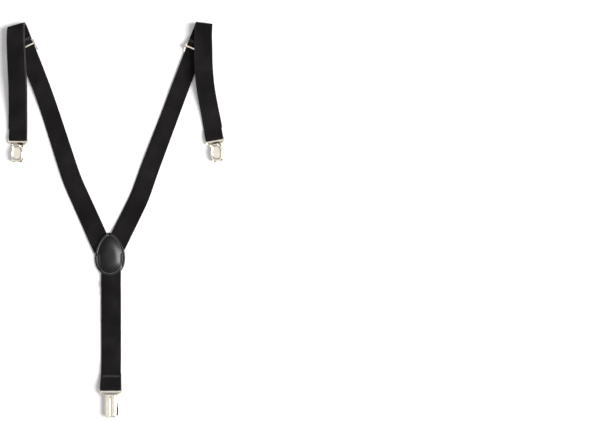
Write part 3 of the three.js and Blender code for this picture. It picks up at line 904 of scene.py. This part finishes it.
def clip_plate(size, banded):
    """The pressed back plate: a channel body with turned-up walls that rise to ears at the pin,
    a raised panel along its back and a rounded tip, and the slotted frame round the bar."""
    width, length, taper = size["width"], size["length"], size["taper"]
    half = CLIP_BODY / 2
    step = NECK + taper - 1
    floor = CLIP_FLOOR + METAL / 2
    pin_y = length - CLIP_PIN_FROM_TIP
    tip = TIP_RADIUS
    rows = np.unique(
        np.concatenate(
            [
                np.linspace(SLOT_END, step + 2, 26),
                np.linspace(step + 2, length - tip, 44),
                length - tip + 3.995 * np.sin(np.linspace(0, math.pi / 2, 16)),
            ]
        )
    )
    k = np.linspace(-1, 1, 61)
    grid = np.zeros((len(rows), len(k), 3))
    for i, y in enumerate(rows):
        # The section at y: half its flat width, the height of its walls, and their bend.
        b = mix(width / 2, half, smooth(NECK - 0.4, NECK + taper, y)) - METAL / 2
        if y > length - tip:
            b = half - tip + math.sqrt(max(tip**2 - (y - length + tip) ** 2, 0)) - METAL / 2
        wall = float(smooth(NECK + taper * 0.55, NECK + taper + 1.2, y))
        wall *= 1 - 0.85 * float(smooth(length - 2.2, length, y))
        radius = 0.25 + 0.85 * wall
        ear = float(bump_at(y, pin_y, 2.6))
        high = 0.02 + wall * (1.6 + 3.1 * ear)
        bend = b - radius
        wall_from = bend + radius * math.pi / 2
        d = np.abs(k) * (wall_from + high)
        turn = (d - bend) / radius
        on_floor, on_wall = d < bend, d >= wall_from
        x = np.where(on_floor, d, np.where(on_wall, b, bend + radius * np.sin(turn)))
        rolled = np.where(on_wall, radius + d - wall_from, radius * (1 - np.cos(turn)))
        z = np.where(on_floor, 0, rolled)
        # The panel and the crease pressed into it.
        if banded:
            panel = smooth(step - 1, step + 2, y) * (1 - smooth(length - 2.6, length - 0.8, y))
            across = np.sign(k) * x
            band = smooth(0.3, 1.5, across) * (1 - smooth(5.0, 5.9, across))
            groove = bump_at(across, -0.4, 0.9)
            dimple = bump_at(np.hypot(across + 3.4, y - (length - 4.4)), 0, 1.3)
            z = z + float(panel) * (0.3 * groove - 0.4 * band) + 0.35 * dimple
        else:
            panel = smooth(step + 1.5, step + 4, y) * (1 - smooth(length - 7.5, length - 5.5, y))
            z = z + 0.35 * float(panel) * (1 - smooth(3.2, 4.6, x)) * (x < half - 1.5)
        crease = float(smooth(NECK + 0.5, step, y) * (1 - smooth(step + 1, step + 4, y)))
        z = z - 0.3 * crease * (1 - smooth(4.5, 6.5, x))
        drop = floor * float(smooth(NECK, step, y))
        grid[i] = np.stack([np.sign(k) * x, np.full_like(x, y), drop + z], axis=1)
    edge = width / 2 - 0.5
    slot = flat_ring(rounded_box(-edge, 0, edge, NECK, 0.9, 10), wide=1.0, thick=1.0)
    return [sheet_shell(grid, METAL, 0.45), slot]


def rounded_ring(corners, radius, steps):
    """A closed line round the corners, each turned with that radius."""
    points = []
    n = len(corners)
    for i in range(n):
        p, q, r = (np.array(corners[(i + d) % n], float) for d in (-1, 0, 1))
        a, b = (p - q) / np.linalg.norm(p - q), (r - q) / np.linalg.norm(r - q)
        start, end = q + a * radius, q + b * radius
        centre = q + (a + b) * radius
        for t in np.linspace(0, math.pi / 2, steps):
            points.append(centre + (start - centre) * math.cos(t) + (end - centre) * math.sin(t))
    return np.array(points)


def flat_ring(line, wide, thick):
    """A closed flat wire along a closed line in the XY plane, with a rounded-off section."""
    segments = 14
    ahead = np.roll(line, -1, 0) - np.roll(line, 1, 0)
    ahead /= np.linalg.norm(ahead, axis=1, keepdims=True)
    side = np.stack([ahead[:, 1], -ahead[:, 0]], axis=1)
    turn = np.linspace(0, 2 * math.pi, segments, endpoint=False)
    sx = wide / 2 * np.sign(np.cos(turn)) * np.abs(np.cos(turn)) ** 0.5
    sz = thick / 2 * np.sign(np.sin(turn)) * np.abs(np.sin(turn)) ** 0.5
    points = [[*(p + q * a), b] for p, q in zip(line, side) for a, b in zip(sx, sz)]
    faces = []
    for i in range(len(line)):
        here, ahead = i * segments, (i + 1) % len(line) * segments
        for j in range(segments):
            m = (j + 1) % segments
            faces.append((here + j, here + m, ahead + m, ahead + j))
    return outward(points, faces)


def lever_face(length, taper):
    """The pressed lever: a rolled U-shaped rim round a dished, polished middle."""
    half = CLIP_BODY / 2 - 0.2
    pin_y = length - CLIP_PIN_FROM_TIP
    start, end = NECK + taper - 1.6, pin_y + 2.4
    middle, long = (start + end) / 2, (end - start) / 2
    turns, rings = 96, 30
    share = np.sin(np.linspace(0, math.pi / 2, rings)) ** 0.9
    base = LEVER_TOP + METAL / 2
    grid = np.zeros((rings, turns, 3))
    for j, angle in enumerate(np.linspace(0, 2 * math.pi, turns, endpoint=False)):
        c, s = math.cos(angle), math.sin(angle)
        x = half * math.copysign(abs(c) ** (0.42 if s < 0 else mix(0.42, 0.8, s)), c)
        y = long * math.copysign(abs(s) ** (0.42 if s < 0 else 0.72), s)
        for i, r in enumerate(share):
            px, py = x * r, y * r
            inset = (1 - r) * half
            along = (middle + py - start) / (end - start)
            px *= mix(0.62, 1.0, float(smooth(0.02, 0.5, along)))
            u = float(smooth(0.0, 0.3, along))
            rim = float(bump_at(inset, 1.0, 1.0)) * (0.6 * u + 0.1)
            dish = -0.35 * float(smooth(1.4, 3.4, inset)) * (0.4 + 0.6 * u)
            arch = 0.5 * (1 - (px / half) ** 2) * (1 - u)
            lift = 0.9 * float(smooth(0.16, 0.0, along))
            drop = -0.5 * float(smooth(0.7, 0.0, inset))
            grid[i, j] = [px, middle + py, base + rim + dish + arch + lift + drop]
    return sheet_shell(grid, 0.7, 0.45, wrap=True)


def clip_lever(size):
    """The lever with the two lugs that the pin goes through and its toothed jaw."""
    pin_y, pin_z = size["length"] - CLIP_PIN_FROM_TIP, CLIP_PIN_Z
    lug_out = CLIP_BODY / 2 - METAL - GAP
    top = LEVER_TOP + 0.3
    lug = [
        (pin_y - 3.2, top),
        (pin_y + 1.5, top),
        (pin_y + 1.35, pin_z - 0.5),
        (pin_y + 0.8, pin_z - 1.1),
        (pin_y, pin_z - 1.35),
        (pin_y - 0.8, pin_z - 1.1),
        (pin_y - 1.6, pin_z),
    ]
    parts = [lever_face(size["length"], size["taper"])]
    plate = cut_plate(lug, METAL, 0.12)
    parts += [upright(plate, sign * (lug_out - METAL / 2)) for sign in (-1, 1)]
    jaw_half, teeth, gum = lug_out - 0.2, 7, 0.95
    pitch = 2 * jaw_half / teeth
    comb = [(-jaw_half, top)]
    for i in range(teeth):
        x = -jaw_half + i * pitch
        bite = [(x + pitch * 0.3, 0.12), (x + pitch * 0.55, 0.12)]
        comb += [(x, gum), *bite, (x + pitch * 0.85, gum)]
    comb += [(jaw_half, gum), (jaw_half, top)]
    points, faces = cut_plate(comb, 0.8, 0.1)
    slant = (top - points[:, 1]) / (top - 0.1)
    y = pin_y - 2.65 + slant * 1.2 + points[:, 2]
    parts.append(outward(np.stack([points[:, 0], y, points[:, 1]], axis=1), faces))
    return parts


def clip_pad(length, wing):
    """The moulded pad that the jaw closes on, with ribs across it; with wing, three strips of it
    show outside one wall."""
    pin_y = length - CLIP_PIN_FROM_TIP
    half = CLIP_BODY / 2 - METAL - GAP
    bottom = CLIP_FLOOR + METAL + GAP
    slab = rounded_box(-half, pin_y - 8, half, length - 1, 1.6, 6)
    parts = [raised(cut_plate(slab, 0.5, 0.12), bottom + 0.25)]
    for y in np.arange(pin_y - 7.2, length - 1.8, 1.6):
        rib = rounded_box(-half + 0.5, y, half - 0.5, y + 0.95, 0.2, 3)
        parts.append(raised(cut_plate(rib, 0.5, 0.12), bottom + 0.55))
    if wing:
        near, far = CLIP_BODY / 2 + 0.05, CLIP_BODY / 2 + 2.15
        for low, high in ((-15.4, -14.2), (-13.2, -11.6), (-10.6, 0.4)):
            strip = rounded_box(near, pin_y + low, far, pin_y + high, 0.3, 5)
            parts.append(raised(cut_plate(strip, 1.5, 0.2), bottom - 0.3))
    return parts


def clip_pin(length):
    half = CLIP_BODY / 2
    head = [(-0.5, 0), (-0.5, 0.5), (-0.25, 0.85), (0, 0.9), (0.02, 0.65)]
    profile = [(x - half, r) for x, r in head] + [(half - x, r) for x, r in reversed(head)]
    return [turned_rod(profile, (0, length - CLIP_PIN_FROM_TIP, CLIP_PIN_Z))]


def build_clip(side, size):
    place, rear = clip_place(side), side == "rear"
    made = (
        ("back_plate_", clip_plate(size, rear), NICKEL, "nickel", "clip_plate_", "clip_"),
        ("lever_", clip_lever(size), NICKEL, "nickel", "clip_lever_", "clip_lever_"),
        ("jaw_pad_", clip_pad(size["length"], rear), PLASTIC, "plastic", "clip_pad_", "clip_"),
        ("jaw_pin_", clip_pin(size["length"]), STEEL, "steel", "clip_pin_", "clip_"),
    )
    for name, parts, finish, slot, node, body in made:
        declare(joined(name + side, place, parts, finish), slot, body + side, node + side)


# ---------------------------------------------------------------- adjusters


def adjuster_place(side):
    """The adjuster's frame: the pivot along X over the origin, the fold along +Y, the table at 0."""
    hinge = JOINTS["adjuster_lever_hinge_" + side]
    pivot = mm(hinge["pos_m"])
    along = np.cross([0, 0, 1], hinge["axis"])
    return Place(pivot * [1, 1, 0], hinge["axis"], along), float(pivot[2])


def cover_plate(pivot):
    """The cover: a plate under the strap whose edges turn up, with a pointed ear at each side."""
    half, thick, floor, radius = ADJUSTER_WIDTH / 2 - 0.35, 0.7, 0.2, 0.7
    ear_reach, ear_foot, flat_edge = 4.4, 2.2, 0.05
    y = np.linspace(-8, 6, 40)
    k = np.linspace(-1, 1, 81)
    grid = np.zeros((len(y), len(k), 3))
    for i, at in enumerate(y):
        span = abs(at) / ear_reach
        high = flat_edge
        if span < 1:
            high = mix(pivot + 1.6 - floor, ear_foot, float(smooth(0.25, 0.85, span)))
        elif span < 1.15:
            high = mix(ear_foot, flat_edge, (span - 1) / 0.15)
        bend = half - radius
        wall_from = bend + radius * math.pi / 2
        d = np.abs(k) ** 0.8 * (wall_from + high)
        turn = np.clip((d - bend) / radius, 0, math.pi / 2)
        x = np.minimum(d, bend) + radius * np.sin(turn)
        z = radius * (1 - np.cos(turn)) + np.maximum(d - wall_from, 0)
        grid[i] = np.stack([np.sign(k) * x, np.full_like(x, at), floor + thick / 2 + z], axis=1)
    return [sheet_shell(grid, thick, 0.45)]


def adjuster_lever(pivot):
    """The lever: a V-shaped trough with a row of teeth, two arms, and the bar at their ends."""
    out = ADJUSTER_WIDTH / 2 - 0.7 - GAP
    inner = out - METAL
    fold = np.array([(0.0, 3.55), (-0.8, 6.1), (-0.6, 6.5), (0.95, 6.56)])
    steps = np.linspace(0, 3, 16)
    y, z = (np.interp(steps, range(4), fold[:, axis]) for axis in (0, 1))
    x = np.linspace(-inner - 0.1, inner + 0.1, 50)
    crown = 0.12 * np.cos(x / inner * math.pi / 2)[None, :] * (y > -0.6)[:, None]
    wide, long = np.meshgrid(x, y)
    parts = [sheet_shell(np.stack([wide, long, z[:, None] + crown], axis=-1), 0.65, 0.45)]
    teeth, root = 8, 4.3
    pitch = 2 * inner / teeth
    tooth = [(0.15, 3.75), (0.2, 3.1), (0.34, 2.92), (0.6, 3.25), (0.9, 3.75)]
    comb = [(-inner, root)]
    comb += [(-inner + (i + share) * pitch, z) for i in range(teeth) for share, z in tooth]
    comb.append((inner, root))
    points, faces = cut_plate(comb, 0.6, 0.1)
    lean = (points[:, 1] - 2.9) * -0.4
    y = 0.25 + lean + points[:, 2]
    parts.append(outward(np.stack([points[:, 0], y, points[:, 1]], axis=1), faces))
    turn = np.linspace(math.radians(100), math.radians(262), 12)
    arm = [(1.55 * math.cos(t), pivot + 1.45 * math.sin(t)) for t in turn]
    tail = [(1.4, -1.35), (6.9, -0.95), (7.3, -0.6), (7.3, 0.6), (6.9, 0.95), (1.4, 1.3)]
    arm += [(y, pivot + z) for y, z in tail]
    plate = cut_plate(arm, METAL, 0.14)
    parts += [upright(plate, sign * (out - METAL / 2)) for sign in (-1, 1)]
    bar = rounded_box(4.8, pivot - 0.5, 6.8, pivot + 0.5, 0.35, 5)
    parts.append(upright(cut_plate(bar, 2 * out - 0.2, 0.1), 0))
    return parts


def adjuster_rivet(pivot, sign):
    outside = ADJUSTER_WIDTH / 2
    inside = outside - 0.7 - GAP - 1.1
    profile = [
        (inside, 0),
        (inside, 0.75),
        (inside + 0.25, 0.9),
        (inside + 0.3, 0.65),
        (outside + 0.02, 0.65),
        (outside + 0.02, 1.1),
        (outside + 0.22, 1.02),
        (outside + 0.34, 0.7),
        (outside + 0.22, 0.42),
        (outside + 0.2, 0),
    ]
    return [turned_rod([(sign * x, r) for x, r in profile], (0, 0, pivot))]


def build_adjuster(side):
    place, pivot = adjuster_place(side)
    lever_body = "adjuster_lever_" + side
    cover = joined("cover_" + side, place, cover_plate(pivot), NICKEL)
    declare(cover, "nickel", "adjuster_" + side, "adjuster_cover_" + side)
    for end, sign in (("a", -1), ("b", 1)):
        rivet = joined(f"rivet_{side}_{end}", place, adjuster_rivet(pivot, sign), STEEL)
        declare(rivet, "steel", "adjuster_" + side, f"adjuster_rivet_{side}_{end}")
    lever = joined("cam_lever_" + side, place, adjuster_lever(pivot), BRASS)
    declare(lever, "brass", lever_body, lever_body)

    path = loop_path(-1, 4.6, pivot, 0.8, (TAB_END, 3.1), (TAB_END, TAB_TOP))
    tab = webbing("sewn_tab_" + side, path.surface(place), 0, path.length, TAB_WIDTH)
    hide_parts("adjuster_tab_" + side)
    sheet_of(0, path.length, TAB_WIDTH)
    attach(tab, lever_body)

    slope_from = 6.9
    x = np.linspace(-TAB_WIDTH / 2 + 2.6, TAB_WIDTH / 2 - 2.6, 30)
    rows = []
    for y in (7.6, 9.4):
        z = mix(pivot + 2.4, TAB_TOP + WEB, (y - slope_from) / (TAB_END - slope_from)) + 0.1
        rows.append([[v, y, z] for v in x])
    stitches("tab_seam_" + side, place, rows, 2.3, 1.7, 0.28, lever_body)


# ---------------------------------------------------------------- straps


def under_patch(layer, side, end):
    """A strap's surface whose end is cut to its own side of the middle line, under the patch."""
    begin = -276.0
    away = -1 if side == "left" else 1
    tries = np.linspace(begin, -332, 160)

    def stop(w):
        at = layer.point(tries, w, 0)
        return float(tries[(at[:, 0] * away > 0.5) & (at[:, 1] > 1.4)].min())

    spread = np.linspace(-14, 14, 57)
    stops = np.array([stop(w) for w in spread])

    def surface(s, w, h):
        s, w, h = np.broadcast_arrays(np.asarray(s, float), w, h)
        reach = (np.interp(w, spread, stops) - begin) / (end - begin)
        return layer.point(np.where(s < begin, begin + (s - begin) * reach, s), w, h)

    return surface


def build_side(side):
    main, back = Layer(side, WEB + GAP), Layer(side, 0)
    main.sag = 1.05
    length = FRONT_LENGTH[side]
    front_body, loop_width = "front_" + side, FRONT_CLIP["loop"]
    lower_z, upper_z = STRAP_BOTTOM + WEB, 2 * main.fold[2] - STRAP_BOTTOM - WEB
    first = main.point(0, 0, 0)[:2]

    # The main strap from the patch, over the fold.
    s0, s1 = PATCH_START, main.arc + FRONT_SPLIT
    strap = webbing("shoulder_strap_" + side, under_patch(main, side, s0), s0, s1, strap_width)
    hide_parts("strap_back_" + side, "strap_fold_" + side)
    sheet_of(s0, s1, FRONT_WIDTH)
    blend(strap, "back", front_body, (*first, lower_z), (*first, upper_z))

    # The returning strap round the inside of the fold.
    r0, r1 = RETURN_SPLIT, back.arc + FRONT_SPLIT
    turn = webbing("return_turn_" + side, back.point, r0, r1, strap_width)
    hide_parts("return_fold_" + side)
    sheet_of(r0, r1, FRONT_WIDTH)
    inset = GAP + WEB
    blend(turn, "back", front_body, (*first, lower_z + inset), (*first, upper_z - inset))

    # Both layers of the front strap down to the clip.
    def front_width(layer):
        last = length - LOOP_REACH
        return lambda s: mix(
            strap_width(s), loop_width, float(smooth(length - 45, last, s - layer.arc))
        )

    for label, layer, node in (("front_", main, "strap_front_"), ("lining_", back, "return_front_")):
        f0, f1 = layer.arc + FRONT_SPLIT, layer.arc + length - LOOP_REACH - GAP / 2
        front = webbing(label + "strap_" + side, layer.point, f0, f1, front_width(layer))
        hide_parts(node + side)
        sheet_of(f0, f1, FRONT_WIDTH)
        start, end = layer.point(f0 + CREEP_HALF, 0, 0), layer.point(f1, 0, 0)
        blend(front, front_body, "strap_end_" + side, start, end)

    # The returning strap on top of the main one, up to the adjuster's tab.
    place, _ = adjuster_place(side)
    slide_y = float(np.dot(place.origin[:2] - first, [math.cos(main.up), math.sin(main.up)]))
    tab_end = slide_y + TAB_END
    rise_end = tab_end + RISE_LENGTH
    flat = webbing("return_strap_" + side, back.point, rise_end + GAP / 2, RETURN_SPLIT, strap_width)
    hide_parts("return_back_" + side)
    sheet_of(rise_end, -3.0, FRONT_WIDTH)
    start, end = back.point(rise_end + 0.5, 0, 0), back.point(-3.3, 0, 0)
    blend(flat, "adjuster_" + side, "back", start, end)

    slew = math.atan2(place.y[1], place.y[0]) - main.up

    def rising(s, w, h):
        near = 1 - smooth(tab_end, rise_end, s)
        return back.point(s + w * math.tan(slew) * near, w, h, 1.9 * near)

    def rise_width(s):
        return mix(TAB_WIDTH, strap_width(s), float(smooth(tab_end, rise_end, s)))

    rise = webbing("return_rise_" + side, rising, tab_end + 0.02, rise_end + GAP / 2, rise_width)
    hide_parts("return_rise_" + side)
    sheet_of(tab_end, rise_end, FRONT_WIDTH)
    start, end = rising(tab_end + 0.1, 0, 0), rising(rise_end, 0, 0)
    blend(rise, "adjuster_lever_" + side, "adjuster_" + side, start, end)

    # The loop round the clip's bar.
    at = clip_place(side)
    bar_z = float(at.origin[2])
    place = Place(at.origin * [1, 1, 0], at.x, at.y)
    path = loop_path(1, 0, bar_z, LOOP_INNER, (-LOOP_REACH, 0), (-LOOP_REACH, WEB + GAP))
    loop = webbing("clip_end_" + side, path.surface(place), 0, path.length, loop_width)
    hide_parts("clip_loop_" + side)
    sheet_of(0, path.length, loop_width)
    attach(loop, "strap_end_" + side)


def rear_height(y):
    """Height of the rear strap's underside: from the patch down to the table, with a creased
    wave, and up again to the clip's loop."""
    end = mm(JOINTS["clip_swing_rear"]["pos_m"])[1] + REAR_TAIL + GAP
    down = -np.asarray(y, float)
    rise = 1.7 * smooth(-end - 22, -end, down)
    rest = smooth(34, 60, down) * (1 - smooth(110, 132, down))
    crease = 1.5 * bump_at(down, 39, 7) + 0.6 * bump_at(down, 50, 6)
    wave = 0.25 * rest * (1 - np.sin(down / 15))
    return mix(STRAP_BOTTOM + GAP, 0.2, smooth(30, 60, down)) + rise + crease + wave


def build_rear():
    bar = mm(JOINTS["clip_swing_rear"]["pos_m"])
    begin, end = -0.6, -(bar[1] + REAR_TAIL + GAP / 2)

    def surface(s, w, h):
        s, w, h = np.broadcast_arrays(np.asarray(s, float), w, h)
        return np.stack([w + REAR_X, -s, rear_height(-s) + h], axis=-1)

    strap = webbing("rear_strap", surface, begin, end, REAR_WIDTH)
    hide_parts("strap_rear")
    sheet_of(begin, end, REAR_WIDTH)
    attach(strap, "back")
    place = Place([bar[0], bar[1], 0], [-1, 0, 0], [0, -1, 0])
    z = float(bar[2])
    path = loop_path(1, 0, z, LOOP_INNER, (-REAR_TAIL, 0.05), (-REAR_TAIL, 0.35 + WEB))

    def flare(s):
        return REAR_CLIP["loop"] + 1.1 * float(bump_at(s, path.length / 2, REAR_TAIL))

    loop = webbing("clip_end_rear", path.surface(place), 0, path.length, flare)
    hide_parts("clip_loop_rear")
    sheet_of(0, path.length, REAR_CLIP["loop"])
    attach(loop, "back")

    slope_from = -1.6
    across = np.linspace(-REAR_WIDTH / 2 + 2.8, REAR_WIDTH / 2 - 2.8, 36)
    rows = []
    for y in (-16.4, -15.0):
        reach = (slope_from - y) / (REAR_TAIL + slope_from)
        height = mix(z + LOOP_INNER + WEB, 0.35 + 2 * WEB, reach) + 0.12
        rows.append([[x, y, height] for x in across])
    stitches("rear_seam", place, rows, 2.3, 1.7, 0.2, "back")


# ---------------------------------------------------------------- patch


def egg(turn, inset):
    width, height = PATCH_WIDTH / 2 - inset, PATCH_HEIGHT / 2 - inset
    return width * np.cos(turn) * (1 - PATCH_EGG * np.sin(turn)), height * np.sin(turn)


def patch_base(x, y):
    """Height of the upper leather's underside: over the webbing, and down where there is none."""
    covered = smooth(1.6, -0.8, np.abs(x - REAR_X) - REAR_WIDTH / 2) * smooth(3.2, 0.4, y)
    for side in ("left", "right"):
        layer = Layer(side, WEB + GAP)
        a, b = layer.point(-292.0, 0, 0), layer.point(-262.0, 0, 0)
        along = (b - a)[:2] / np.linalg.norm((b - a)[:2])
        w = (x - a[0]) * along[1] - (y - a[1]) * along[0]
        here = smooth(1.6, -0.8, np.abs(w) - PATCH_END_WIDTH / 2) * smooth(-1.5, 1.5, y)
        covered = np.maximum(covered, here)
    return 1.35 + 1.9 * covered


def build_patch():
    angle = np.linspace(0, 2 * math.pi, 192, endpoint=False)
    rings = []
    for inset, rise in ((0.35, 0.0), (0.0, 0.25), (0.0, LEATHER_SHEET - 0.6)):
        x, y = egg(angle, inset)
        rings.append(np.stack([x, y, patch_base(x, y) + rise], axis=1))
    insets = [0.18, 0.55, 1.2, 2.0, 2.6, 2.95, 3.2, 3.45, 3.7, 4.0, 4.3, 4.7, 5.2]
    insets = np.array(insets + [5.8, 6.6, 7.6, 8.8, 10.2, 11.8, 13.4, 15, 16.4, 17.6])
    welt_at = [0.18, 0.55, 1.2, 2.0, 2.6, 3.2, 3.7, 4.0]
    welt = np.interp(insets, welt_at, [-0.3, 0.1, 0.3, 0.14, -0.08, -0.36, -0.2, 0.1])
    share = np.clip((insets - 4.0) / (PATCH_WIDTH / 2 - 4.0), 0, 1)
    dome = 4.6 * (1 - (1 - share) ** 2.1)
    for inset, edge, crown in zip(insets, welt, dome):
        x, y = egg(angle, inset)
        settled = mix(patch_base(x, y), PATCH_FILL, float(smooth(3.0, 9.0, inset)))
        rings.append(np.stack([x, y, settled + LEATHER_SHEET + edge + crown], axis=1))
    top = [0, 0, rings[-1][:, 2].max() + 0.02]
    shell = stacked_rings(rings, top, [0, 0, 3.3])
    patch = new_piece("patch_top_leather", *shell, LEATHER, sharp=60)
    declare(patch, "leather", "back", "patch_top")

    edge = [(0.3, 0.0), (0.0, 0.25), (0.0, 0.95), (0.3, BACKING)]
    rings = [np.stack([*egg(angle, inset), np.full(len(angle), z)], axis=1) for inset, z in edge]
    shell = stacked_rings(rings, [0, 0, BACKING], [0, 0, 0])
    under = new_piece("patch_backing_leather", *shell, LEATHER, sharp=50)
    declare(under, "leather", "back", "patch_backing")

    x, y = egg(np.linspace(0, 2 * math.pi, 240, endpoint=False), 3.2)
    z = patch_base(x, y) + LEATHER_SHEET - 0.22
    line = np.stack([x, y, z], axis=1)
    stitches("patch_seam", np.array, [line], 2.35, 1.9, 0.3, "back", cyclic=True)


# ---------------------------------------------------------------- the whole


build_patch()
build_rear()
for side in ("left", "right"):
    build_side(side)
    build_adjuster(side)
    build_clip(side, FRONT_CLIP)
build_clip("rear", REAR_CLIP)

# The table, the light and the camera.
VIEW_CENTRE = Vector((0.2457, 0.056, 0))
VIEW_WIDTH = 0.777
LENS = 85
SENSOR = 36

floor = bpy.data.meshes.new("table")
bm = bmesh.new()
bmesh.ops.create_grid(bm, x_segments=1, y_segments=1, size=4)
bm.to_mesh(floor)
bm.free()
floor.materials.append(floor_finish())
table = linked("table", floor)
table.location.z = -0.0001


def area_light(name, place, aim, size, watts, color):
    data = bpy.data.lights.new(name, "AREA")
    data.shape, data.size, data.size_y = "RECTANGLE", *size
    data.energy, data.color = watts, color
    lamp = linked(name, data)
    lamp.location = place
    lamp.rotation_euler = (Vector(aim) - Vector(place)).to_track_quat("-Z", "Y").to_euler()


area_light("key", (2.9, -0.15, 2.2), (0.1, 0.05, 0), (1.9, 2.8), 240, (1, 0.99, 0.975))

# A studio that is dim round the sides and bright overhead.
world = bpy.data.worlds.new("studio")
world.use_nodes = True
nodes, links = world.node_tree.nodes, world.node_tree.links
coords = nodes.new("ShaderNodeTexCoord")
parts = nodes.new("ShaderNodeSeparateXYZ")
links.new(coords.outputs["Generated"], parts.inputs[0])
sky = nodes.new("ShaderNodeValToRGB")
stops = [(0.0, 0.17), (0.5, 0.26), (0.8, 0.48), (0.94, 0.84), (1.0, 0.86)]
while len(sky.color_ramp.elements) < len(stops):
    sky.color_ramp.elements.new(0.5)
for stop, (at, level) in zip(sky.color_ramp.elements, stops):
    stop.position, stop.color = at, (level, level, level, 1)
links.new(parts.outputs["Z"], sky.inputs["Fac"])
links.new(sky.outputs[0], nodes["Background"].inputs["Color"])
nodes["Background"].inputs["Strength"].default_value = 1.1
bpy.context.scene.world = world

data = bpy.data.cameras.new("camera")
data.lens, data.sensor_width = LENS, SENSOR
camera = linked("camera", data)
camera.location = VIEW_CENTRE + Vector((0, 0, VIEW_WIDTH * LENS / SENSOR))
data.clip_start, data.clip_end = 0.1, 20
bpy.context.scene.camera = camera
bpy.context.scene.view_settings.view_transform = "Standard"
